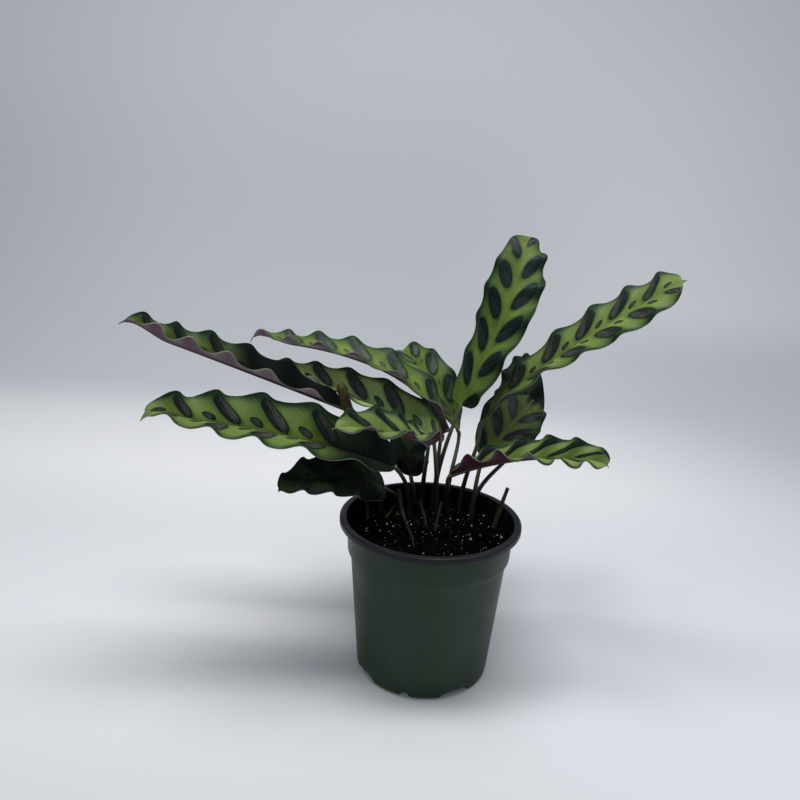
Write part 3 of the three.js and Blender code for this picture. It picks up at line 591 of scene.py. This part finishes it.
def tube(points, radii, reference, sides):
    """A closed tube: a ring of the given radius about each point, square to the path, with a cap at both ends."""
    along = unit(np.gradient(points, axis=0))
    side = unit(reference - along * (along @ reference)[:, None])
    up = np.cross(along, side)
    turned = np.linspace(0, 2 * np.pi, sides, endpoint=False)[None, :, None]
    rings = points[:, None] + (side[:, None] * np.cos(turned) + up[:, None] * np.sin(turned)) * radii[..., None]
    count = len(points) * sides
    walls = grid_faces(len(points), sides, closed_columns=True)[:, ::-1]
    first = np.arange(sides)
    after = (first + 1) % sides
    start = np.stack([np.full(sides, count), after, first], -1)
    end = np.stack([np.full(sides, count + 1), count - sides + first, count - sides + after], -1)
    corners = np.vstack([rings.reshape(-1, 3), points[:1], points[-1:]])
    return corners, [*walls.tolist(), *start.tolist(), *end.tolist()]


def tube_corners(rows, sides):
    """Corner coordinates for a tube's faces: once round across, from foot to end up."""
    i, j = np.meshgrid(np.arange(rows - 1), np.arange(sides), indexing="ij")
    low, high = i / (rows - 1), (i + 1) / (rows - 1)
    left, right = j / sides, (j + 1) / sides
    walls = np.stack([[left, low], [left, high], [right, high], [right, low]], 0)
    walls = walls.transpose(2, 3, 0, 1)[:, :, ::-1]
    first = np.arange(sides) / sides
    caps = [np.stack([[first + 0.5 / sides, first * 0 + end]] * 3, 0).transpose(2, 0, 1) for end in (0.0, 1.0)]
    return np.concatenate([walls.reshape(-1, 2), caps[0].reshape(-1, 2), caps[1].reshape(-1, 2)])


def stalk_tube(leaf):
    """A cubic Bezier from the soil, straight up at first, to the collar, then the underside of the midrib. It
    thins upwards, swells by a fifth at the joint under the collar, and dies out towards the tip."""
    root = np.array([*leaf["soil"], SOIL_LEVEL], float)
    collar, soon = midrib(leaf, np.array([0.0, 0.004]))
    reach = collar - root
    length = np.linalg.norm(reach)
    arrival = unit(unit(reach) * (1 - leaf["turn"]) + unit(soon - collar) * leaf["turn"])
    t = np.linspace(0, 1, STALK_STEPS, endpoint=False)[:, None]
    corners = [root, root + [0, 0, length * STALK_RISE], collar - arrival * length * 0.2, collar]
    share = [(1 - t) ** 3, 3 * (1 - t) ** 2 * t, 3 * (1 - t) * t ** 2, t ** 3]
    stem = sum(a * b for a, b in zip(share, corners))
    t = t[:, 0]
    stem_radius = STALK_BASE + (STALK_NECK - STALK_BASE) * t
    stem_radius *= 1 + 0.22 * np.exp(-((1 - t) * length / 5.5) ** 2)
    stem_radius *= 1 + 0.25 * eased((0.32 - t) / 0.3)
    v = np.linspace(0.01, 0.97, STALK_STEPS)
    keel_radius = STALK_NECK * 0.95 + (KEEL_END - STALK_NECK * 0.95) * np.clip(v / 0.9, 0, 1) ** 0.7
    top = blade_frame(leaf, v)[1]
    keel = midrib(leaf, v) - top * (keel_radius * 0.75)[:, None]
    points = np.vstack([[root - [0, 0, STALK_DEPTH]], stem, keel])
    radii = np.concatenate([[STALK_BASE * 1.25], stem_radius, keel_radius])
    sideways = unit(np.cross([0, 0, 1.0], np.subtract(leaf["tip"], leaf["collar"])))
    return tube(points, radii[:, None], sideways, STALK_SIDES), len(points)


top = Recipe("leaf_top")
across, wave_count, _ = top.split(top.place("pattern"))
solid = top.place()
q = top.math("ABSOLUTE", across)
brushed = top.join(top.math("MULTIPLY", q, 2.2), top.math("MULTIPLY", wave_count, 26.0))
brush = top.noise(brushed, 1.0, 3.0, 0.6)
streak = top.math("SUBTRACT", brush, 0.5)
wobble = top.math("SUBTRACT", top.noise(top.join(q, wave_count), 2.3, 2.0), 0.5)


def oval(offset, middle, half_across, half_along, softness):
    """Share 1 inside an ellipse about (q = middle, wave count = a whole number + offset), 0 outside."""
    shifted = top.math("ADD", top.math("SUBTRACT", wave_count, offset), top.math("MULTIPLY", wobble, 0.07))
    nearest = top.math("SUBTRACT", shifted, top.math("ROUND", shifted))
    far_along = top.math("POWER", top.math("ABSOLUTE", top.math("DIVIDE", nearest, half_along)), 2.0)
    far_across = top.math("DIVIDE", top.math("SUBTRACT", q, middle), half_across)
    reach = top.math("ADD", far_along, top.math("POWER", top.math("ABSOLUTE", far_across), 2.2))
    reach = top.math("ADD", reach, top.math("MULTIPLY", streak, 0.3))
    return top.ramp(reach, 1 + softness, 1 - softness), nearest, reach


# The habit attribute: how large the big blotches are, how large the small ones, how strong the sheen painted on
# them, and, in alpha, the tone: 1 paints deep shade, 0 leaves the colours plain, -1 paints light as a pale green.
habit = top.tree.nodes.new("ShaderNodeAttribute")
habit.attribute_name = "habit"
fill, spots, painted_sheen = top.split(habit.outputs["Vector"])
painted_shade = top.math("MULTIPLY", habit.outputs["Alpha"], 1.0, clamp=True)
painted_light = top.math("MULTIPLY", habit.outputs["Alpha"], -1.0, clamp=True)
big_across = top.math("MINIMUM", top.ramp(fill, 0.03, 0.18, 0.08, 0.41), top.ramp(fill, 0.18, 0.38, 0.41, 0.33))
big, big_side, big_reach = oval(0.0, 0.46, big_across, fill, 0.12)
small, _, small_reach = oval(0.5, 0.22, top.math("MULTIPLY", spots, 0.13), top.math("MULTIPLY", spots, 0.11), 0.2)
blotch = top.math("MAXIMUM", big, small)
beside_blotch = top.math("COSINE", top.math("MULTIPLY", wave_count, 2 * np.pi))
inward = top.math("ADD", q, top.math("MULTIPLY", beside_blotch, 0.09))
inward = top.math("ADD", inward, top.math("MULTIPLY", streak, 0.3))
lamina = top.mix(top.ramp(inward, 0.25, 0.8), (0.15, 0.213, 0.036), (0.068, 0.12, 0.031))
lamina = top.mix(top.ramp(top.noise(solid, 75.0, 4.0), 0.35, 0.7), lamina, (0.075, 0.125, 0.02))
veins = top.ramp(brush, 0.35, 0.7)
lamina = top.mix(top.math("MULTIPLY", veins, 0.12), lamina, (0.07, 0.12, 0.018))
# Painted light: a negative tone mixes the top towards a pale green.
lamina = top.mix(painted_light, lamina, (0.29, 0.39, 0.135))
lamina = top.mix(top.ramp(inward, 0.68, 0.98), lamina, (0.011, 0.032, 0.014))
halo = top.math("MULTIPLY", top.ramp(big_reach, 1.9, 1.0), 0.55)
lamina = top.mix(halo, lamina, (0.022, 0.06, 0.016))
lengthwise = top.join(top.math("MULTIPLY", q, 4.0), top.math("MULTIPLY", wave_count, 30.0))
patches = top.ramp(top.noise(lengthwise, 1.0, 4.0), 0.36, 0.6, 0.15, 1.0)
# Painted sheen: a grey-brown highlight over one half of each big blotch and inside the small ones, broken into
# patches and scaled by the sheen number in the habit attribute.
sheen = top.math("MULTIPLY", top.ramp(big_side, 0.1, -0.08, 0.25, 1.0), top.ramp(big_reach, 0.95, 0.3))
sheen = top.math("MAXIMUM", sheen, top.ramp(small_reach, 0.9, 0.2, 0.0, 0.7))
sheen = top.math("MULTIPLY", top.math("MULTIPLY", sheen, patches), painted_sheen, clamp=True)
sheen_colour = top.mix(top.ramp(painted_sheen, 1.0, 1.4), (0.1, 0.095, 0.08), (0.085, 0.11, 0.07))
dark = top.mix(sheen, (0.005, 0.012, 0.012), sheen_colour)
dark = top.mix(top.ramp(top.math("ABSOLUTE", big_side), 0.02, 0.008, 0.0, 0.35), dark, (0.075, 0.09, 0.07))
skin = top.mix(blotch, lamina, dark)
rib = top.ramp(q, 0.04, 0.016)
skin = top.mix(rib, skin, (0.13, 0.18, 0.05))
# Painted shade: a positive tone mixes the whole top towards near-black green.
skin = top.mix(painted_shade, skin, (0.0015, 0.0045, 0.0035))
quilt = top.math("SINE", top.math("MULTIPLY", wave_count, 2 * np.pi * 9))
relief = top.math("ADD", top.math("MULTIPLY", quilt, 0.3), top.math("MULTIPLY", brush, 0.5))
relief = top.math("SUBTRACT", relief, top.math("MULTIPLY", rib, 0.9))
satin = top.math("ADD", top.noise(solid, 150.0, 3.0), top.math("MULTIPLY", blotch, -0.2))
satin = top.ramp(satin, 0.2, 0.8, 0.4, 0.56)
top.set(
    Base_Color=skin,
    Roughness=top.math("MAXIMUM", satin, top.math("MULTIPLY", habit.outputs["Alpha"], 0.8)),
    Specular_IOR_Level=0.13,
    Normal=top.bump(relief, 0.32, 0.0003),
)

below = Recipe("leaf_underside")
across, wave_count, _ = below.split(below.place("pattern"))
q = below.math("ABSOLUTE", across)
hair = below.join(below.math("MULTIPLY", q, 2.5), below.math("MULTIPLY", wave_count, 30.0))
hair = below.noise(hair, 1.0, 3.0, 0.6)
maroon = below.mix(below.noise(below.place(), 70.0, 3.0), (0.062, 0.011, 0.03), (0.1, 0.03, 0.055))
maroon = below.mix(below.ramp(hair, 0.45, 0.8, 0.0, 0.5), maroon, (0.035, 0.008, 0.018))
maroon = below.mix(below.ramp(q, 0.93, 1.0, 0.0, 0.7), maroon, (0.12, 0.1, 0.085))
below.set(
    Base_Color=maroon,
    Roughness=below.ramp(hair, 0.2, 0.8, 0.42, 0.58),
    Specular_IOR_Level=0.5,
    Normal=below.bump(hair, 0.5, 0.0003),
)

rim = Recipe("leaf_rim")
rim.set(Base_Color=(0.16, 0.19, 0.12), Roughness=0.5, Specular_IOR_Level=0.4)

stem = Recipe("leaf_stalk")
around_stem, up_stem, _ = stem.split(stem.place("pattern"))
fibre = stem.join(stem.math("MULTIPLY", around_stem, 9.0), stem.math("MULTIPLY", up_stem, 5.0))
fibre = stem.noise(fibre, 1.0, 4.0, 0.6)
stem_colour = stem.mix(stem.ramp(up_stem, 0.12, 0.45), (0.012, 0.0085, 0.006), (0.115, 0.13, 0.062))
stem_colour = stem.mix(stem.ramp(fibre, 0.4, 0.75, 0.0, 0.6), stem_colour, (0.022, 0.015, 0.009))
stem_colour = stem.mix(stem.ramp(up_stem, 0.5, 0.6), stem_colour, (0.075, 0.05, 0.035))
stem_habit = stem.tree.nodes.new("ShaderNodeAttribute")
stem_habit.attribute_name = "habit"
# Painted shade: the stalk is darkened by the tone at its leaf's base, for leaves painted in shade.
painted_stalk_shade = stem.math("MULTIPLY", stem_habit.outputs["Alpha"], 0.6, clamp=True)
stem_colour = stem.mix(painted_stalk_shade, stem_colour, (0.012, 0.01, 0.008))
stem.set(
    Base_Color=stem_colour,
    Roughness=0.5,
    Specular_IOR_Level=0.4,
    Normal=stem.bump(fibre, 0.5, 0.0004),
)


def leaf_piece(name, leaf):
    """The blade's two faces, half the thickness above and below its middle surface, a rim between them, and the
    stalk. Each corner carries its share across the half blade and its count of waves, for the pattern."""
    s = np.linspace(0, 1, ALONG_STEPS + 1)
    v = s - 0.35 * np.sin(2 * np.pi * s) / (2 * np.pi)
    t = np.linspace(-1, 1, 2 * HALF_STEPS + 1)
    t = np.sign(t) * np.abs(t) ** 0.9
    middle = blade_surface(leaf, v, t)
    normal = unit(np.cross(np.gradient(middle, axis=1), np.gradient(middle, axis=0)))
    rows, columns = middle.shape[:2]
    count = rows * columns
    upper = (middle + normal * BLADE_THICKNESS / 2).reshape(-1, 3)
    lower = (middle - normal * BLADE_THICKNESS / 2).reshape(-1, 3)
    sheet = grid_faces(rows, columns)
    top_faces, bottom_faces = sheet[:, ::-1], sheet + count
    loop = np.concatenate([
        np.arange(columns - 1), np.arange(rows - 1) * columns + columns - 1,
        count - 1 - np.arange(columns - 1), (rows - 1 - np.arange(rows - 1)) * columns])
    ahead_of = np.roll(loop, -1)
    rim_faces = np.stack([loop, loop + count, ahead_of + count, ahead_of], -1)
    (tube_points, tube_faces), tube_rows = stalk_tube(leaf)
    faces = [*top_faces.tolist(), *bottom_faces.tolist(), *rim_faces.tolist(),
             *[[i + 2 * count for i in face] for face in tube_faces]]
    kinds = np.repeat([0, 1, 2, 3], [len(top_faces), len(bottom_faces), len(rim_faces), len(tube_faces)])
    q = np.abs(t)[None, :] + 0 * v[:, None]
    counted = waves_to(leaf, v[:, None], q - 0.5, leaf.get("slant", 1.0)) - 0.25
    column = top_faces % columns
    on_left = (column.min(1) < HALF_STEPS)[:, None]
    phase = np.where(on_left, leaf["left"][1], leaf["right"][1])
    top_uv = np.stack([q.ravel()[top_faces], counted.ravel()[top_faces] + phase], -1)
    rim_uv = np.stack([q.ravel()[rim_faces % count], counted.ravel()[rim_faces % count]], -1)
    pattern = np.concatenate([top_uv.reshape(-1, 2), top_uv[:, ::-1].reshape(-1, 2), rim_uv.reshape(-1, 2),
                              tube_corners(tube_rows, STALK_SIDES)])
    piece = new_piece(name + "_blade", np.vstack([upper, lower, tube_points]), faces,
                      [top.material, below.material, rim.material, stem.material], kinds, {"pattern": pattern})
    piece.data.set_sharp_from_angle(angle=np.radians(55))
    # Tone along the blade, painted shade where positive and painted light where negative: the base's value from the
    # collar, easing into the tip's value by the third number.
    tip_shading, base_shading, shading_end = leaf["painted_shading"]
    painted_shading = tip_shading + (base_shading - tip_shading) * eased((shading_end - v) / 0.22)
    whole = (leaf["fill"], leaf["spots"], leaf["painted_sheen"], base_shading)
    habit = np.full((len(piece.data.vertices), 4), whole, np.float32)
    habit[:2 * count, 3] = np.tile(np.repeat(painted_shading, columns), 2)
    full = (0.35 + 0.65 * eased(v / 0.25)) * (1 - 0.6 * eased((v - 0.78) / 0.2))
    habit[:2 * count, 0] *= np.tile(np.repeat(full, columns), 2)
    piece.data.attributes.new("habit", "FLOAT_COLOR", "POINT").data.foreach_set("color", habit.ravel())
    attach(piece, "root")
    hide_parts(name)


for name, leaf in LEAVES.items():
    leaf_piece(name, leaf)

# New leaf: not yet open, so a blade rolled into a narrow spear on its own stalk, green where it will be the top
# and maroon along the overlapping edge.
SPEAR_SOIL, SPEAR_TOP, SPEAR_BOW = (-40, 21), (-60, 0, 187), (5, 16, 0)
SPEAR_STALK, SPEAR_ROLL, SPEAR_START, SPEAR_OVERLAP = 1.3, 3.1, 0.6, 0.3
SPEAR_STEPS, SPEAR_SIDES = 150, 30
root = np.array([*SPEAR_SOIL, SOIL_LEVEL], float)
crown = np.array(SPEAR_TOP, float)
bend = (root + crown) / 2 + SPEAR_BOW
t = np.linspace(0, 1, SPEAR_STEPS)[:, None]
spear_line = (1 - t) ** 2 * root + 2 * t * (1 - t) * bend + t * t * crown
rolled = np.clip((t - SPEAR_START) / (1 - SPEAR_START), 0, 1)
swell = np.sqrt(np.clip(rolled * 7, 0, 1)) * (1 - rolled ** 16) ** 0.5
spear_radius = SPEAR_STALK * (1 - rolled) ** 0.3 + (SPEAR_ROLL - SPEAR_STALK * (1 - rolled) ** 0.3) * swell
spear_radius = np.maximum(spear_radius, 0.12)
lap = np.linspace(0, 1, SPEAR_SIDES, endpoint=False)
spiral = 1 + SPEAR_OVERLAP * eased(rolled * 8) * (0.5 - lap[None, :]) * (spear_radius / SPEAR_ROLL)
along = unit(np.gradient(spear_line, axis=0))
side = unit(np.cross(along, [0.35, 1.0, 0.0]))
up = np.cross(along, side)
turned = (2 * np.pi * (lap[None, :] + 0.22 * t))[..., None]
outward = side[:, None] * np.cos(turned) + up[:, None] * np.sin(turned)
spear_ring = spear_line[:, None] + outward * (spear_radius * spiral)[..., None]
spear_foot = spear_ring[:1] - np.array([0, 0, STALK_DEPTH])
spear_ring = np.vstack([spear_foot, spear_ring])
spear_rows = len(spear_ring)
spear_end = spear_rows * SPEAR_SIDES
first = np.arange(SPEAR_SIDES)
after = (first + 1) % SPEAR_SIDES
spear_caps = [spear_ring[0].mean(0), spear_ring[-1].mean(0) + along[-1] * 0.8]
spear_points = np.vstack([spear_ring.reshape(-1, 3), spear_caps])
spear_faces = [
    *grid_faces(spear_rows, SPEAR_SIDES, closed_columns=True)[:, ::-1].tolist(),
    *np.stack([np.full(SPEAR_SIDES, spear_end), after, first], -1).tolist(),
    *np.stack([np.full(SPEAR_SIDES, spear_end + 1), spear_end - SPEAR_SIDES + first,
               spear_end - SPEAR_SIDES + after], -1).tolist()]
young = Recipe("rolled_leaf")
round_leaf, up_leaf, _ = young.split(young.place("pattern"))
hair = young.join(young.math("MULTIPLY", round_leaf, 14.0), young.math("MULTIPLY", up_leaf, 6.0))
hair = young.noise(hair, 1.0, 3.0)
from_lap = young.math("ABSOLUTE", young.math("SUBTRACT", round_leaf, young.math("MULTIPLY", hair, 0.06)))
outer_edge = young.ramp(young.math("ABSOLUTE", young.math("SUBTRACT", from_lap, 0.27)), 0.15, 0.11)
edge_reach = young.math("MULTIPLY", young.ramp(up_leaf, 0.56, 0.64), young.ramp(up_leaf, 0.96, 0.9))
outer_edge = young.math("MULTIPLY", outer_edge, edge_reach)
leaf_green = young.mix(young.ramp(hair, 0.35, 0.7), (0.082, 0.075, 0.012), (0.036, 0.036, 0.009))
stalk_brown = young.mix(young.ramp(hair, 0.35, 0.7), (0.045, 0.036, 0.018), (0.02, 0.014, 0.009))
young_green = young.mix(young.ramp(up_leaf, 0.5, 0.66), stalk_brown, leaf_green)
young.set(
    Base_Color=young.mix(outer_edge, young_green, (0.055, 0.014, 0.028)),
    Roughness=young.ramp(hair, 0.3, 0.7, 0.45, 0.6),
    Specular_IOR_Level=0.2,
    Normal=young.bump(hair, 0.5, 0.0003),
)
spear = new_piece("rolled_leaf", spear_points, spear_faces, [young.material],
                  corner_uv={"pattern": tube_corners(spear_rows, SPEAR_SIDES)})
spear.data.set_sharp_from_angle(angle=np.radians(60))
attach(spear, "root")
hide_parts("new_leaf_rolled")

# Old stalks: cut or withered stubs that stand in the soil, one that has fallen on it, and a dry leaf sheath lying
# across the front. All are fibrous, ribbed along their length and frayed at the ends.
STUBS = {
    "cut_stub_right": dict(thick=(1.5, 1.2), ribs=9, path=[(39, 7, 84), (43, 8, 103), (48, 9, 122)]),
    "dry_stub_middle": dict(thick=(1.3, 0.6), ribs=6, path=[(-1, 5, 84), (-3, 7, 98), (-7, 10, 110)]),
    "dry_stub_front": dict(thick=(1.4, 0.6), ribs=6, path=[(3, 1, 84), (4, 3, 97), (7, 8, 111)]),
    "fallen_stub": dict(thick=(0.9, 0.8), ribs=7, path=[(-21, 41, 93.9), (-25, 28, 93.7), (-29, 15, 93.3)]),
    "dry_sheath": dict(thick=(1.6, 0.4), ribs=5, path=[
        (-21, 27, 110), (-17.5, 17, 98), (-14, 4, 94.2), (-11, -10, 93.9), (-10, -23, 93.7)]),
}
STUB_STEPS, STUB_SIDES = 70, 28


def smooth_path(corners, t):
    """One curve through the corners: on each stretch a cubic whose end slopes are half the step between the
    corner's neighbours."""
    corners = np.array(corners, float)
    slope = np.gradient(corners, axis=0)
    place = t * (len(corners) - 1)
    i = np.minimum(place.astype(int), len(corners) - 2)
    u = (place - i)[:, None]
    return ((2 * u ** 3 - 3 * u ** 2 + 1) * corners[i] + (u ** 3 - 2 * u ** 2 + u) * slope[i]
            + (3 * u ** 2 - 2 * u ** 3) * corners[i + 1] + (u ** 3 - u ** 2) * slope[i + 1])


def dry_material(name, dark, light):
    recipe = Recipe(name)
    around_stub, up_stub, _ = recipe.split(recipe.place("pattern"))
    strands = recipe.join(recipe.math("MULTIPLY", around_stub, 16.0), recipe.math("MULTIPLY", up_stub, 2.6))
    strand = recipe.noise(strands, 1.0, 5.0, 0.65)
    stain = recipe.noise(recipe.place(), 190.0, 3.0)
    fibres = recipe.mix(recipe.ramp(strand, 0.38, 0.62), dark, light)
    return recipe.set(
        Base_Color=recipe.mix(recipe.ramp(stain, 0.45, 0.75, 0.0, 0.7), fibres, dark),
        Roughness=0.8,
        Specular_IOR_Level=0.25,
        Normal=recipe.bump(strand, 0.8, 0.0005),
    )


stub_brown = dry_material("stub_brown", (0.007, 0.0045, 0.0035), (0.05, 0.036, 0.025))
stub_olive = dry_material("stub_olive", (0.009, 0.007, 0.0045), (0.075, 0.06, 0.032))
sheath_brown = dry_material("sheath_brown", (0.005, 0.0035, 0.003), (0.026, 0.019, 0.014))
STUB_MATERIAL = {"cut_stub_right": stub_olive, "fallen_stub": stub_olive, "dry_sheath": sheath_brown}
for name, stub in STUBS.items():
    t = np.linspace(0, 1, STUB_STEPS)
    around = np.linspace(0, 2 * np.pi, STUB_SIDES, endpoint=False)[None, :]
    spot = np.random.default_rng(len(name))
    start, end = stub["thick"]
    ripple = spot.uniform(0, 2 * np.pi, 3)
    radii = (start + (end - start) * t)[:, None] * (
        1 + 0.07 * np.cos(stub["ribs"] * around + ripple[0] + 1.5 * t[:, None])
        + 0.06 * np.cos(2 * around + ripple[1] + 5 * t[:, None]) + 0.04 * np.cos(26 * t + ripple[2])[:, None])
    frayed = spot.uniform(-0.9, 0.5, STUB_SIDES)
    points, faces = tube(smooth_path(stub["path"], t), radii, np.array([0.3, 1.0, 0.1]), STUB_SIDES)
    ends = points[:-2].reshape(STUB_STEPS, STUB_SIDES, 3)
    ahead_at_end = unit(ends[-1] - ends[-2])
    ends[-1] += ahead_at_end * frayed[:, None] * end
    points[-1] -= ahead_at_end.mean(0) * end * 0.7
    piece = new_piece(name + "_fibres", points, faces, [STUB_MATERIAL.get(name, stub_brown)],
                      corner_uv={"pattern": tube_corners(STUB_STEPS, STUB_SIDES)})
    piece.data.set_sharp_from_angle(angle=np.radians(50))
    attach(piece, "root")
    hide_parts(name)
